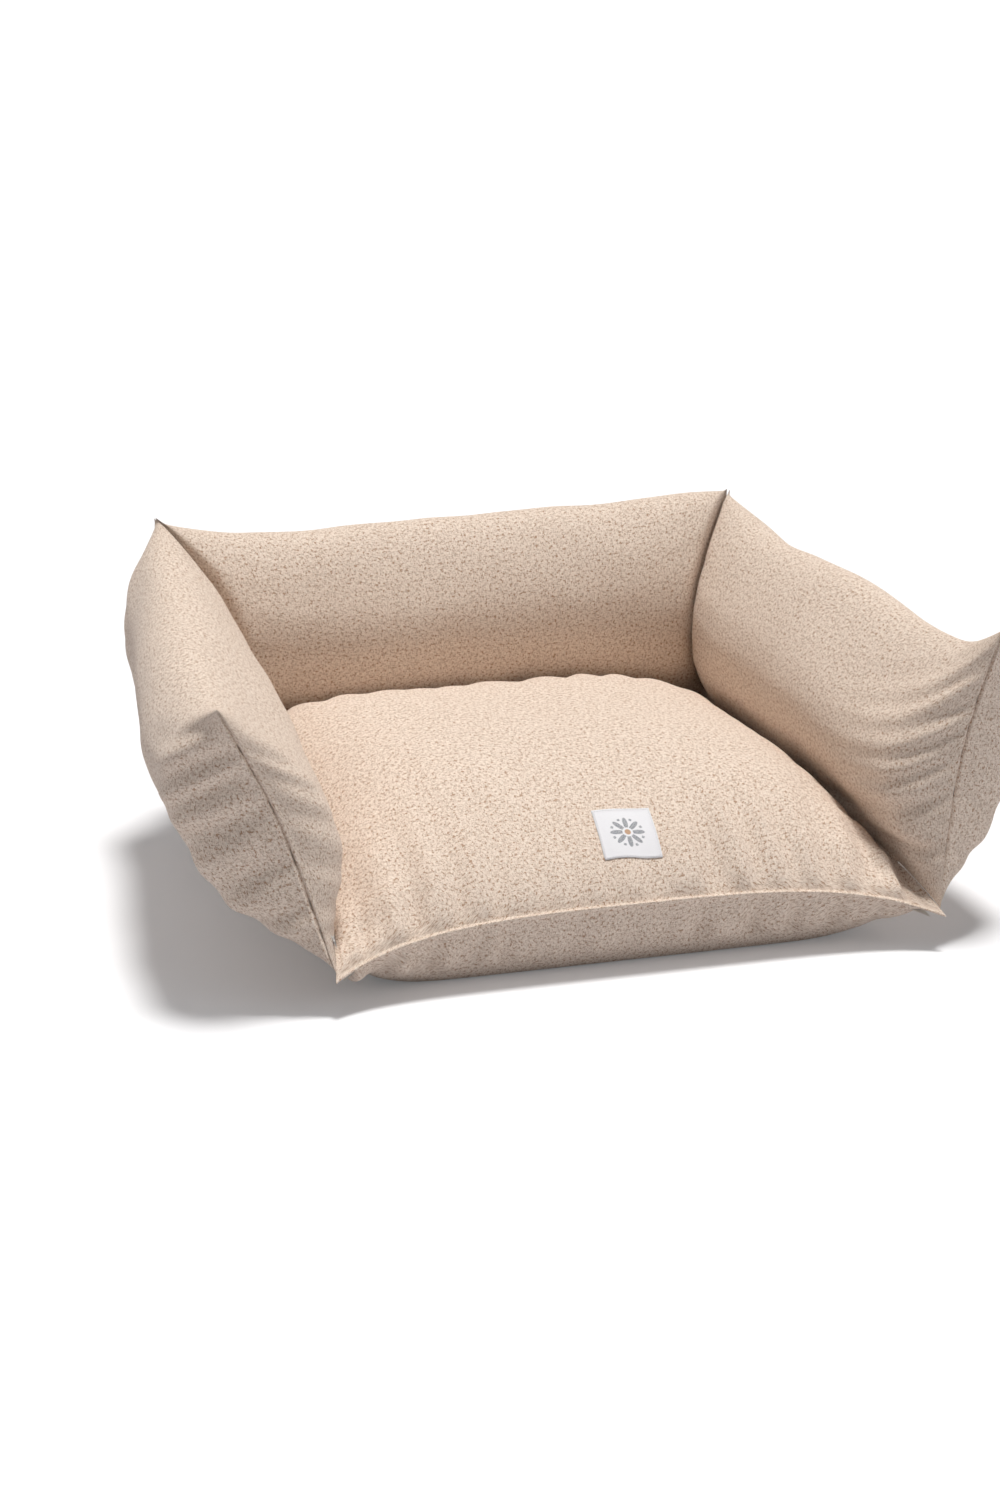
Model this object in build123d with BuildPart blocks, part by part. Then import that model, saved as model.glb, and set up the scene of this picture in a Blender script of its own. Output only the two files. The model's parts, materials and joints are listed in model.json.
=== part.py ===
from build123d import *
import os
from math import atan, cos, radians, sin

# A pet bed: a square seat cushion with three standing bolster pillows sewn along its left, back
# and right seams, open at the front. The bolsters' back tips are fastened to each other in pairs.
# Origin on the floor under the seat's centre, +X to the right, +Y to the back, +Z up. Millimetres.

# Seat cushion
seat_width = 600.0
seat_depth = 540.0
seat_height = 168.0
seam_height = 65.0
side_draw_in = 15.0
back_draw_in = 14.0
front_draw_in = 27.0
seat_shoulder = 95.0

# Bolster pillows: heights and outward leans of their upper tips, bulges each side of the chord
left_front_tip_height = 287.0
left_back_tip_height = 314.0
right_front_tip_height = 302.0
right_back_tip_height = 307.0
left_front_lean = 119.0
left_back_lean = 17.0
right_front_lean = 71.0
right_back_lean = 15.0
back_left_lean = 22.0
back_right_lean = 13.0
inner_bulge = 63.0
left_outer_bulge = 84.0
back_outer_bulge = 72.0
right_outer_bulge = 72.0
bolster_shoulder = 70.0
end_draw_in = 14.0
front_tip_inset = 28.0
front_foot_inset = 22.0
back_foot_inset = 32.0
tip_overlap = 12.0

# Cloth, filling and sewn edges
cloth = 2.0
filling_gap = 0.8
seam_allowance = 10.0
welt_radius = 2.5
fold_gap = 0.3

# Woven label on the seat's front slope
label_size = 56.0
label_thickness = 0.6
label_slope = 35.0
label_turn = 4.6
label_x = 12.0
label_y = -173.0

# Hook-and-loop dots that hold the back tips together
dot_diameter = 12.0
dot_thickness = 1.4
dot_gap = 0.3
dot_inset = 4.0

# Zips
zip_end_margin = 20.0
zip_slot_width = 11.0
zip_slot_end = 6.0
zip_tape_width = 24.0
zip_tape_gap = 1.0
zip_tape_thickness = 0.8
zip_seat_depth = 2.3
zip_tooth_pitch = 6.0
zip_tooth_length = 3.4
zip_coil_width = 5.0
zip_web_height = 0.9
zip_coil_height = 1.8
zip_pocket_depth = 5.5
zip_pocket_margin = 3.0
zip_stop_length = 3.0
play = 0.3
slider_length = 11.0
slider_wall = 0.9
slider_top = 1.1
bridge_length = 6.4
bridge_width = 2.2
bridge_height = 3.4
bridge_bar = 1.2
pull_length = 24.0
pull_width = 7.0
pull_thickness = 1.4
pull_hole = 3.0
pull_bar = 1.4

# Each seat level below the seam: height, side reach, tip and corner rounding, as shares of the
# seam height, the seam's reach, the draw-in and the shoulder
seat_lower_shares = (
    (0.00, 0.84, 0.00, 0.24),
    (0.18, 0.915, 0.15, 0.12),
    (0.55, 0.98, 1.00, 0.00),
    (1.00, 1.00, 0.10, 0.00),
)
# Each seat level above it: height over the seam as a share of the crown, side, front and back
# reach as shares of the seam's, then tip and corner rounding
seat_upper_shares = (
    (0.00, 1.00, 1.00, 1.00, 0.10, 0.00),
    (0.20, 0.955, 0.915, 0.955, 0.00, 0.04),
    (0.45, 0.90, 0.765, 0.90, 0.00, 0.16),
    (0.70, 0.785, 0.55, 0.815, 0.00, 0.22),
    (0.88, 0.60, 0.30, 0.70, 0.00, 0.26),
    (1.00, 0.25, 0.00, 0.45, 0.00, 0.29),
)
shoulder_limit_share = 0.8
# Each bolster level: height, inner bulge, outer bulge, end draw-in and lean, as shares of the
# largest. The foot comes first and the folded top last.
bolster_shares = (
    (0.00, 0.015, 0.04, 0.00, 0.00),
    (0.06, 0.11, 0.34, 0.20, 0.00),
    (0.12, 0.22, 0.54, 0.42, 0.00),
    (0.19, 0.38, 0.77, 0.62, 0.01),
    (0.30, 0.70, 0.93, 0.85, 0.12),
    (0.46, 0.97, 1.00, 1.00, 0.33),
    (0.62, 1.00, 0.98, 0.98, 0.54),
    (0.78, 0.84, 0.82, 0.75, 0.74),
    (0.89, 0.60, 0.58, 0.45, 0.88),
    (0.96, 0.36, 0.34, 0.18, 0.96),
    (1.00, 0.10, 0.10, 0.00, 1.00),
)
zip_level = 2
straight_levels = 4
bow_share = 0.09
dot_height_share = 0.93

# Places that follow from the sizes above
tip_x = seat_width / 2
tip_y = seat_depth / 2
side_x = tip_x - side_draw_in
back_y = tip_y - back_draw_in
front_y = tip_y - front_draw_in
foot_height = seam_height + welt_radius + fold_gap
left_corner = Vector(-side_x - left_back_lean, back_y + back_left_lean, 0)
right_corner = Vector(side_x + right_back_lean, back_y + back_right_lean, 0)
side_run = seat_depth - front_foot_inset - back_foot_inset
back_run = seat_width - 2 * back_foot_inset
zip_length = min(side_run, back_run) - 2 * (bolster_shoulder + zip_end_margin)
zip_slot_length = zip_length + 2 * zip_slot_end
tape_top = -zip_seat_depth
slider_roof = zip_coil_height + play


def finish(builder, label):
    """Names a finished piece and writes it."""
    builder.part.label = label
    export_step(builder.part, f"parts/{label}.step")


def seat_section(height, side, front, back, tip_share, round_share):
    """One level of the seat: straight middles whose ends curve out or in to four corners."""
    shoulder = min(seat_shoulder, shoulder_limit_share * (front + back) / 2, shoulder_limit_share * side)
    inset = shoulder * round_share
    corner_x = side + side_draw_in * tip_share - inset
    with BuildSketch(Plane.XY.offset(height)) as section:
        with BuildLine():
            for end, reach, draw_in in ((-1, front, front_draw_in), (1, back, back_draw_in)):
                corner_y = end * (reach + draw_in * tip_share - inset)
                for turn in (-1, 1):
                    corner = (turn * corner_x, corner_y)
                    TangentArc((turn * (side - shoulder), end * reach), corner, tangent=(turn, 0))
                    TangentArc((turn * side, end * (reach - shoulder)), corner, tangent=(0, end))
                Line((shoulder - side, end * reach), (side - shoulder, end * reach))
            for turn in (-1, 1):
                Line((turn * side, shoulder - front), (turn * side, back - shoulder))
        make_face()
    return section.sketch


def seat_lower_levels(skin):
    """The seat below its seam, drawn in by a skin all round and from the floor up."""
    for height_share, reach_share, tip_share, round_share in seat_lower_shares:
        yield seat_section(
            max(seam_height * height_share, skin),
            side_x * reach_share - skin,
            front_y * reach_share - skin,
            back_y * reach_share - skin,
            tip_share,
            round_share,
        )


def seat_upper_levels(skin):
    """The seat above its seam, drawn in by a skin all round and from the crown down."""
    crown = seat_height - seam_height
    for height_share, side_share, front_share, back_share, tip_share, round_share in seat_upper_shares:
        yield seat_section(
            seam_height + (crown - skin) * height_share,
            side_x * side_share - skin,
            front_y * front_share - skin,
            back_y * back_share - skin,
            tip_share,
            round_share,
        )


def bolster_section(plane, run, half_length, inner, outer, straight):
    """One level of a bolster: a long lens whose sides curve in to a tip at each end."""
    with BuildSketch(plane) as section:
        with BuildLine():
            for side, bulge in ((1, outer), (-1, inner)):
                bow = 0 if straight else bulge * bow_share
                edge = side * (bulge - bow)
                slope = 2 * atan(bow / run)
                if straight:
                    Line((-run, edge), (run, edge))
                else:
                    ThreePointArc((-run, edge), (0, side * bulge), (run, edge))
                for end in (-1, 1):
                    lean_in = (end * cos(slope), -side * sin(slope))
                    TangentArc((end * run, edge), (end * half_length, 0), tangent=lean_in)
        make_face()
    return section.sketch


class Bolster:
    """A standing pillow. Its foot runs along a seam of the seat, its fold between two tips."""

    def __init__(self, start_foot, end_foot, start_tip, end_tip, outward, outer_bulge):
        self.foot = (Vector(*start_foot), Vector(*end_foot))
        self.tip = (Vector(*start_tip), Vector(*end_tip))
        self.outward = Vector(*outward)
        self.outer_bulge = outer_bulge

    def level(self, height_share, lean_share):
        """The plane of one level, X along the chord and Y outward, and the chord's length."""
        ends = []
        for foot, tip in zip(self.foot, self.tip):
            rise = tip - foot
            lean = self.outward * rise.dot(self.outward)
            ends.append(foot + (rise - lean) * height_share + lean * lean_share)
        chord = ends[1] - ends[0]
        normal = chord.cross(self.outward).normalized()
        return Plane((ends[0] + ends[1]) / 2, x_dir=chord.normalized(), z_dir=normal), chord.length

    def levels(self, skin):
        """All levels, or with a skin those between the foot and the fold, drawn in by it."""
        shares = bolster_shares[1:-1] if skin else bolster_shares
        for index, (height_share, inner, outer, draw_in, lean_share) in enumerate(shares):
            plane, length = self.level(height_share, lean_share)
            end_skin = 3 * skin + seam_allowance if skin else 0
            half_length = length / 2 - end_draw_in * draw_in
            lift = {0: skin - cloth, len(shares) - 1: cloth - skin}.get(index, 0) if skin else 0
            yield bolster_section(
                plane.offset(lift),
                half_length - bolster_shoulder,
                half_length - end_skin,
                inner_bulge * inner - skin,
                self.outer_bulge * outer - skin,
                index < (straight_levels - 1 if skin else straight_levels),
            )

    def zip_plane(self):
        """The plane of the zip on the outer face's straight foot: X along it, Z away from the cloth."""
        below, at, above = bolster_shares[zip_level - 1 : zip_level + 2]
        plane, _ = self.level(at[0], at[4])
        rise = (self.level(above[0], above[4])[0].origin - self.level(below[0], below[4])[0].origin).Z
        run_out = self.outer_bulge * (above[2] - below[2])
        normal = plane.y_dir * rise - plane.z_dir * run_out
        face = plane.origin + plane.y_dir * self.outer_bulge * at[2]
        return Plane(face, x_dir=plane.x_dir, z_dir=normal)


def moved(plane, x, y, z):
    """A parallel plane with its origin at a point given on the first one."""
    return Plane(plane.from_local_coords((x, y, z)), x_dir=plane.x_dir, z_dir=plane.z_dir)


def slot(plane, length, width, depth):
    """A rounded opening across the plane, as a separate solid."""
    with BuildPart() as opening:
        with BuildSketch(plane):
            SlotOverall(length, width)
        extrude(amount=depth, both=True)
    return opening.part


left_bolster = Bolster(
    (-side_x, front_foot_inset - tip_y, foot_height),
    (-side_x, tip_y - back_foot_inset, foot_height),
    (-side_x - left_front_lean, front_tip_inset - tip_y, left_front_tip_height),
    (left_corner.X, left_corner.Y + tip_overlap, left_back_tip_height),
    (-1, 0, 0),
    left_outer_bulge,
)
back_bolster = Bolster(
    (back_foot_inset - tip_x, back_y, foot_height),
    (tip_x - back_foot_inset, back_y, foot_height),
    (left_corner.X - tip_overlap, left_corner.Y, left_back_tip_height),
    (right_corner.X + tip_overlap, right_corner.Y, right_back_tip_height),
    (0, 1, 0),
    back_outer_bulge,
)
right_bolster = Bolster(
    (side_x, tip_y - back_foot_inset, foot_height),
    (side_x, front_foot_inset - tip_y, foot_height),
    (right_corner.X, right_corner.Y + tip_overlap, right_back_tip_height),
    (side_x + right_front_lean, front_tip_inset - tip_y, right_front_tip_height),
    (1, 0, 0),
    right_outer_bulge,
)
bolsters = {"left": left_bolster, "back": back_bolster, "right": right_bolster}
# Each fastened tip: the bolster, the corner it meets and the way it faces there
tip_faces = (
    ("left", "loop", left_corner, Vector(1, 1, 0)),
    ("back", "hook", left_corner, Vector(-1, -1, 0)),
    ("back", "hook", right_corner, Vector(1, -1, 0)),
    ("right", "loop", right_corner, Vector(-1, 1, 0)),
)


def tip_plane(corner, facing):
    """The plane on which a fastening dot sits, square to the way its bolster faces."""
    way = facing.normalized()
    return Plane(corner - way * (dot_thickness + dot_gap / 2), z_dir=way)


# The seat's zip lies low on its back, between the second and third levels of the lower panel
seat_zip_height = seam_height * (seat_lower_shares[1][0] + seat_lower_shares[2][0]) / 2
seat_zip_y = back_y * (seat_lower_shares[1][1] + seat_lower_shares[2][1]) / 2
seat_zip_rise = seam_height * (seat_lower_shares[2][0] - seat_lower_shares[1][0])
seat_zip_run = back_y * (seat_lower_shares[2][1] - seat_lower_shares[1][1])
seat_zip_plane = Plane(
    (0, seat_zip_y, seat_zip_height), x_dir=(1, 0, 0), z_dir=(0, seat_zip_rise, -seat_zip_run)
)
zips = {"seat": seat_zip_plane}
for side, bolster in bolsters.items():
    zips[f"{side}_bolster"] = bolster.zip_plane()


def zip_slot(plane):
    """The opening in the cloth over a zip."""
    return slot(plane, zip_slot_length, zip_slot_width, zip_pocket_depth)


def zip_pocket(plane):
    """The hollow that a zip's tape presses into the filling."""
    width = zip_tape_width + 2 * zip_pocket_margin
    return slot(plane, zip_slot_length + width, width, zip_pocket_depth)


def make_seat():
    """Two panels that meet at the seam and the filled bag between them."""
    with BuildPart() as bottom_panel:
        loft([*seat_lower_levels(0)], ruled=True)
        loft([*seat_lower_levels(cloth)], ruled=True, mode=Mode.SUBTRACT)
        add(zip_slot(seat_zip_plane), mode=Mode.SUBTRACT)
    finish(bottom_panel, "seat_bottom_panel")
    with BuildPart() as top_panel:
        loft([*seat_upper_levels(0)], ruled=True)
        loft([*seat_upper_levels(cloth)], ruled=True, mode=Mode.SUBTRACT)
    finish(top_panel, "seat_top_panel")
    with BuildPart() as insert:
        loft([*seat_lower_levels(cloth + filling_gap)], ruled=True)
        loft([*seat_upper_levels(cloth + filling_gap)], ruled=True)
        add(zip_pocket(seat_zip_plane), mode=Mode.SUBTRACT)
    finish(insert, "seat_insert")


def make_label():
    """A woven square that follows the front slope of the seat's crown."""
    with BuildPart() as label:
        loft([*seat_upper_levels(-label_thickness)], ruled=True)
        loft([*seat_upper_levels(0)], ruled=True, mode=Mode.SUBTRACT)
        with BuildSketch(Plane.XY.offset(seam_height)):
            with Locations(Location((label_x, label_y), label_turn)):
                Rectangle(label_size, label_size * cos(radians(label_slope)))
        extrude(amount=seat_height, mode=Mode.INTERSECT)
    finish(label, "label")


def make_welts():
    """The sewn edges along which the bolsters fold, as round beads on the seat's seams."""
    ends = {
        "left": ((-side_x, -front_y), (-side_x, back_y)),
        "back": ((-side_x, back_y), (side_x, back_y)),
        "right": ((side_x, back_y), (side_x, -front_y)),
    }
    for side, (start, end) in ends.items():
        start_point = Vector(*start, seam_height)
        way = (Vector(*end, seam_height) - start_point).normalized()
        length = (Vector(*end, seam_height) - start_point).length - seat_shoulder
        with BuildPart() as welt:
            with BuildSketch(Plane(start_point + way * seat_shoulder / 2, z_dir=way)):
                Circle(welt_radius)
            extrude(amount=length)
            loft([*seat_lower_levels(0)], ruled=True, mode=Mode.SUBTRACT)
            loft([*seat_upper_levels(0)], ruled=True, mode=Mode.SUBTRACT)
        finish(welt, f"{side}_seam_welt")


def cut_fastened_tips(side, depth):
    """Cuts the bolster being made flat where its tips meet its neighbours', a depth from the dots."""
    for owner, _, corner, facing in tip_faces:
        if owner == side:
            split(bisect_by=tip_plane(corner, facing).offset(-depth), keep=Keep.BOTTOM)


def make_bolsters():
    """Each bolster's cover, cut flat where two tips are fastened, and its filled bag."""
    for side, bolster in bolsters.items():
        with BuildPart() as cover:
            loft([*bolster.levels(0)], ruled=True)
            loft([*bolster.levels(cloth)], ruled=True, mode=Mode.SUBTRACT)
            cut_fastened_tips(side, 0)
            add(zip_slot(zips[f"{side}_bolster"]), mode=Mode.SUBTRACT)
        finish(cover, f"{side}_bolster_cover")
        with BuildPart() as insert:
            loft([*bolster.levels(cloth + filling_gap)], ruled=True)
            cut_fastened_tips(side, cloth + filling_gap)
            add(zip_pocket(zips[f"{side}_bolster"]), mode=Mode.SUBTRACT)
        finish(insert, f"{side}_bolster_insert")


def make_dots():
    """Round hook-and-loop dots that meet on the diagonal between two bolsters' tips."""
    for owner, kind, corner, facing in tip_faces:
        seat_of_dot = tip_plane(corner, facing)
        tip_height = left_back_tip_height if corner == left_corner else right_back_tip_height
        inward = Vector(0, 0, 1).cross(seat_of_dot.z_dir)
        if inward.Y > 0:
            inward = -inward
        centre = seat_of_dot.origin + inward * dot_inset
        height = foot_height + (tip_height - foot_height) * dot_height_share
        with BuildPart() as dot:
            with BuildSketch(Plane(centre + Vector(0, 0, height), z_dir=seat_of_dot.z_dir)):
                Circle(dot_diameter / 2)
            extrude(amount=dot_thickness)
        corner_name = "left" if corner == left_corner else "right"
        finish(dot, f"{corner_name}_corner_{kind}_dot")


def make_tape(owner, plane):
    """The two halves of the tape, which lie under the edges of the opening."""
    half_width = (zip_tape_width - zip_tape_gap) / 2
    tape_y = (zip_tape_gap + half_width) / 2
    with BuildPart() as tape:
        with BuildSketch(plane.offset(tape_top)):
            with Locations((0, tape_y), (0, -tape_y)):
                Rectangle(zip_slot_length, half_width)
        extrude(amount=-zip_tape_thickness)
    finish(tape, f"{owner}_zip_tape")


def make_coil(owner, plane):
    """The closed coil: a web with its turns standing on it."""
    teeth = int(zip_length / zip_tooth_pitch)
    with BuildPart() as coil:
        with BuildSketch(plane.offset(tape_top)):
            Rectangle(zip_length, zip_coil_width)
        extrude(amount=zip_web_height)
        with BuildSketch(plane.offset(tape_top + zip_web_height)):
            with GridLocations(zip_length / teeth, 0, teeth, 1):
                Rectangle(zip_tooth_length, zip_coil_width)
        extrude(amount=zip_coil_height - zip_web_height)
    finish(coil, f"{owner}_zip_coil")


def make_slider(owner, centre):
    """A saddle over the coil with a bridge for the pull. It travels along its plane's X."""
    across = Plane(centre.origin, x_dir=centre.y_dir, z_dir=centre.x_dir)
    inside = zip_coil_width / 2 + play
    outside = inside + slider_wall
    top = slider_roof + slider_top
    bridge_plane = Plane(moved(centre, 0, 0, top).origin, x_dir=centre.x_dir, z_dir=-centre.y_dir)
    window_height = bridge_height - bridge_bar
    with BuildPart() as slider:
        with BuildSketch(across):
            with BuildLine():
                Polyline(
                    (inside, play),
                    (outside, play),
                    (outside, top),
                    (-outside, top),
                    (-outside, play),
                    (-inside, play),
                    (-inside, slider_roof),
                    (inside, slider_roof),
                    close=True,
                )
            make_face()
        extrude(amount=slider_length / 2, both=True)
        with BuildSketch(bridge_plane):
            with Locations((0, bridge_height / 2)):
                Rectangle(bridge_length, bridge_height)
            with Locations((0, window_height / 2)):
                Rectangle(bridge_length - 2 * bridge_bar, window_height, mode=Mode.SUBTRACT)
        extrude(amount=bridge_width / 2, both=True)
    finish(slider, f"{owner}_zip_slider")


def make_pull(owner, centre):
    """The tongue: a round bar through the bridge, on which it swings, and a plate with two eyes."""
    pivot = centre.offset(slider_roof + slider_top + play + pull_thickness / 2)
    bar_plane = Plane(pivot.origin, x_dir=pivot.x_dir, z_dir=pivot.y_dir)
    round_end = pull_length - (pull_width + pull_bar) / 2
    window_start = pull_bar / 2
    window_end = bridge_length / 2 + bridge_height
    with BuildPart() as pull:
        with BuildSketch(bar_plane):
            Circle(pull_bar / 2)
        extrude(amount=pull_width / 2, both=True)
        with BuildSketch(pivot):
            with Locations((round_end / 2, 0)):
                Rectangle(round_end, pull_width)
            with Locations((round_end, 0)):
                Circle(pull_width / 2)
                Circle(pull_hole / 2, mode=Mode.SUBTRACT)
            with Locations(((window_start + window_end) / 2, 0)):
                Rectangle(window_end - window_start, bridge_width + 2 * play, mode=Mode.SUBTRACT)
        extrude(amount=pull_thickness / 2, both=True)
    finish(pull, f"{owner}_zip_pull")


def make_zip(owner, plane):
    """One zip. Its slider rests at the closed end and travels along X."""
    slider_x = (slider_length - zip_length) / 2 + zip_stop_length
    centre = moved(plane, slider_x, 0, tape_top)
    make_tape(owner, plane)
    make_coil(owner, plane)
    make_slider(owner, centre)
    make_pull(owner, centre)


os.makedirs("parts", exist_ok=True)
make_seat()
make_label()
make_welts()
make_bolsters()
make_dots()
for owner, plane in zips.items():
    make_zip(owner, plane)
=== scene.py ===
import json
import math
from dataclasses import dataclass

import bmesh
import bpy
import numpy as np
from bpy.props import FloatProperty, FloatVectorProperty, PointerProperty
from mathutils import Matrix, Vector, noise
from mathutils.bvhtree import BVHTree


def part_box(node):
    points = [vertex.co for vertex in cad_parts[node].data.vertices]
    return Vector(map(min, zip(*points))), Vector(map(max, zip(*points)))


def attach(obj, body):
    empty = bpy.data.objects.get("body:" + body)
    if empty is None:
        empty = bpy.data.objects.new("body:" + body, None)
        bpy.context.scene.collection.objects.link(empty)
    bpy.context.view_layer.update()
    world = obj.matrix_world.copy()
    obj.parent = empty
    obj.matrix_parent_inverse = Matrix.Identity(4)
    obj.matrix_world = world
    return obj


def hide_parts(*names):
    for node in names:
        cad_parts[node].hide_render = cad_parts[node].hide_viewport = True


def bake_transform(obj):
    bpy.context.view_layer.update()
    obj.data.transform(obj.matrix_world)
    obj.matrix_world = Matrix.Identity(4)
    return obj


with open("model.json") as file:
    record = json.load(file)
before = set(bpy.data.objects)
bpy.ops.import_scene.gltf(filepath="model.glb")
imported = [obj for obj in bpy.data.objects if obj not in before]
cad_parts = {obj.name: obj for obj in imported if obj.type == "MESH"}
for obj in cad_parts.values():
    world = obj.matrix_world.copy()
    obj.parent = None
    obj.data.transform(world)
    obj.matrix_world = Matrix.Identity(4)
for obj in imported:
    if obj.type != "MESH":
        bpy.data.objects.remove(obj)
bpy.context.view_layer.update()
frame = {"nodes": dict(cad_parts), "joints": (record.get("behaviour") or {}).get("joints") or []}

bl_info = {
    "name": "Pet bed",
    "version": (1, 0, 0),
    "blender": (4, 5, 0),
    "location": "View3D > Sidebar > Pet bed",
    "description": "Builds a pet bed of a seat cushion with three sewn-on bolster pillows",
    "category": "Object",
}

SIDES = ("left", "back", "right")
CORNERS = ((-1, -1), (1, -1), (1, 1), (-1, 1))


# Settings

def number(name, description, default, **options):
    return FloatProperty(name=name, description=description, default=default, **options)


def metres(name, description, default):
    return number(name, description, default, unit="LENGTH")


def degrees(name, description, default):
    return number(name, description, math.radians(default), subtype="ANGLE")


def vector(name, description, default, subtype="NONE", **options):
    options["subtype"] = subtype
    return FloatVectorProperty(name=name, description=description, default=default, **options)


def pair(name, description, default):
    return vector(name, description, default, size=2, unit="LENGTH")


class SeatSizes(bpy.types.PropertyGroup):
    """The seat cushion, measured on its seam"""

    half_width: metres("Half width", "Centre to side seam", 0.285)
    front: metres("Front", "Centre to front seam", 0.243)
    back: metres("Back", "Centre to back seam", 0.256)
    tip_x: metres("Tip across", "Centre to the corner tips", 0.300)
    tip_y: metres("Tip along", "Centre to the corner tips", 0.270)
    height: metres("Height", "Floor to crown", 0.168)
    seam_height: metres("Seam height", "Floor to side seam", 0.065)
    front_rise: metres("Front rise", "Front seam over side seam", 0.001)
    tip_drop: metres("Tip drop", "Corner tips under the side seam", 0.034)
    droop_height: metres("Droop height", "Reach of the tip drop", 0.15)
    edge: metres("Seam edge", "Sewn edge that stands out", 0.0046)
    edge_thickness: metres("Edge thickness", "Folded cloth", 0.0034)


class BolsterSizes(bpy.types.PropertyGroup):
    """The three standing pillows"""

    left_heights: pair("Left heights", "Upper tips, front and back", (0.287, 0.314))
    right_heights: pair("Right heights", "Upper tips, front and back", (0.302, 0.307))
    left_leans: pair("Left leans", "Tips beyond the seam, front and back", (0.119, 0.017))
    right_leans: pair("Right leans", "Tips beyond the seam, front and back", (0.071, 0.015))
    back_leans: pair("Back leans", "Tips beyond the seam, left and right", (0.022, 0.013))
    inner_bulge: metres("Inner bulge", "Chord to inner face", 0.063)
    left_bulges: pair("Left bulges", "Outer face, front and back", (0.092, 0.058))
    right_bulges: pair("Right bulges", "Outer face, front and back", (0.084, 0.070))
    back_bulge: metres("Back bulge", "Outer face", 0.072)
    back_gathers: number("Back gathers", "Share of the front ends' gathers", 0.25)
    belly_drop: metres("Belly drop", "Bulges' front end", 0.018)
    shoulders: pair("Shoulders", "Close to an end seam, front and back", (0.046, 0.062))
    draw_in: metres("Draw-in", "End seam inside its tips", 0.010)
    seam_groove: metres("Seam groove", "Depth of an end seam", 0.0022)
    seam_lip: metres("Seam lip", "Allowance under the cloth", 0.0010)
    seam_edge: metres("Seam edge", "Half width of the groove", 0.0010)
    end_roundness: number("Front end roundness", "Low for a blunt end", 1.1, min=0.3, max=2)
    back_end_roundness: number("Back end roundness", "The same behind", 0.95, min=0.3, max=2)
    tip_roundness: number("Tip roundness", "The same at the tips", 1.5, min=0.3, max=2)
    front_tip_inset: metres("Front tip inset", "Tip behind seat tip", 0.028)
    foot_overlap: metres("Foot overlap", "Foot inside the seat's edge", 0.002)
    front_foot_inset: metres("Front foot inset", "Foot behind seat tip", 0.008)
    back_foot_inset: metres("Back foot inset", "Foot before seat tip", 0.012)
    tip_overlap: metres("Tip overlap", "Back tips past their corner", 0.012)
    sags: vector("Sags", "Top folds: left, back and right", (0.020, 0.014, 0.030), unit="LENGTH")
    back_sag_skew: number("Back sag skew", "Share moved to the left", 0.75)


class ClothFinish(bpy.types.PropertyGroup):
    """Oatmeal linen-look cloth, label and zips"""

    cloth: vector("Cloth", "Mean colour", (0.85, 0.71, 0.60), "COLOR")
    dark_yarn: vector("Dark yarn", "Flecks", (0.36, 0.235, 0.15), "COLOR")
    brown_yarn: vector("Brown yarn", "Specks", (0.42, 0.24, 0.14), "COLOR")
    pale_yarn: vector("Pale yarn", "Flecks", (0.93, 0.86, 0.76), "COLOR")
    yarn_pitch: metres("Yarn pitch", "Between two yarns", 0.0012)
    label: vector("Label", "Woven ground", (0.88, 0.87, 0.89), "COLOR")
    label_ink: vector("Label figure", "Grey yarn", (0.20, 0.21, 0.23), "COLOR")
    label_warm: vector("Label centre", "Tan yarn", (0.50, 0.27, 0.12), "COLOR")
    metal: vector("Zip metal", "Nickel", (0.62, 0.60, 0.57), "COLOR")
    filling: vector("Inner bag", "Plain cotton", (0.84, 0.83, 0.80), "COLOR")


class LabelSizes(bpy.types.PropertyGroup):
    """The woven label on the seat's front slope"""

    size: metres("Size", "Side of the square", 0.056)
    slope: degrees("Slope", "Lean of the seat there", 35)
    turn: degrees("Turn", "Turn about the upright", -4.6)
    x: metres("X", "Centre across", 0.007)
    y: metres("Y", "Centre along", -0.190)
    thickness: metres("Thickness", "Woven ribbon", 0.0008)


class StageSettings(bpy.types.PropertyGroup):
    """Camera and studio light"""

    azimuth: degrees("Azimuth", "Camera round the bed", -21.3)
    elevation: degrees("Elevation", "Camera above the floor", 18.2)
    roll: degrees("Roll", "Camera tilt", 1.8)
    eye: vector("Eye", "Camera place", (-1.359, -3.366, 1.330), "TRANSLATION")
    focal_pixels: number("Focal length", "In pixels of a 1500 high image", 4000)
    key_light: number("Key light", "Strength of the overhead lamp", 2.95)
    key_way: vector("Key way", "Way to the lamp", (0.06, 0.05, 1.0), "DIRECTION")
    key_spread: degrees("Key spread", "Width of the lamp", 13)
    front_light: number("Front light", "Strength of the soft frontal lamp", 0.58)
    front_way: vector("Front way", "Way to it", (0.80, -0.60, 0.35), "DIRECTION")
    soft_spread: degrees("Soft spread", "Width of the soft lamps", 60)
    left_light: number("Left light", "Strength of the soft lamp on the left", 0.45)
    left_way: vector("Left way", "Way to it", (-0.5, 0.1, 0.85), "DIRECTION")
    fill_light: number("Fill light", "Strength of the room", 0.08)


def settings(group):
    return getattr(bpy.context.scene, "pet_bed_" + group)


# Shader maths

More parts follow.
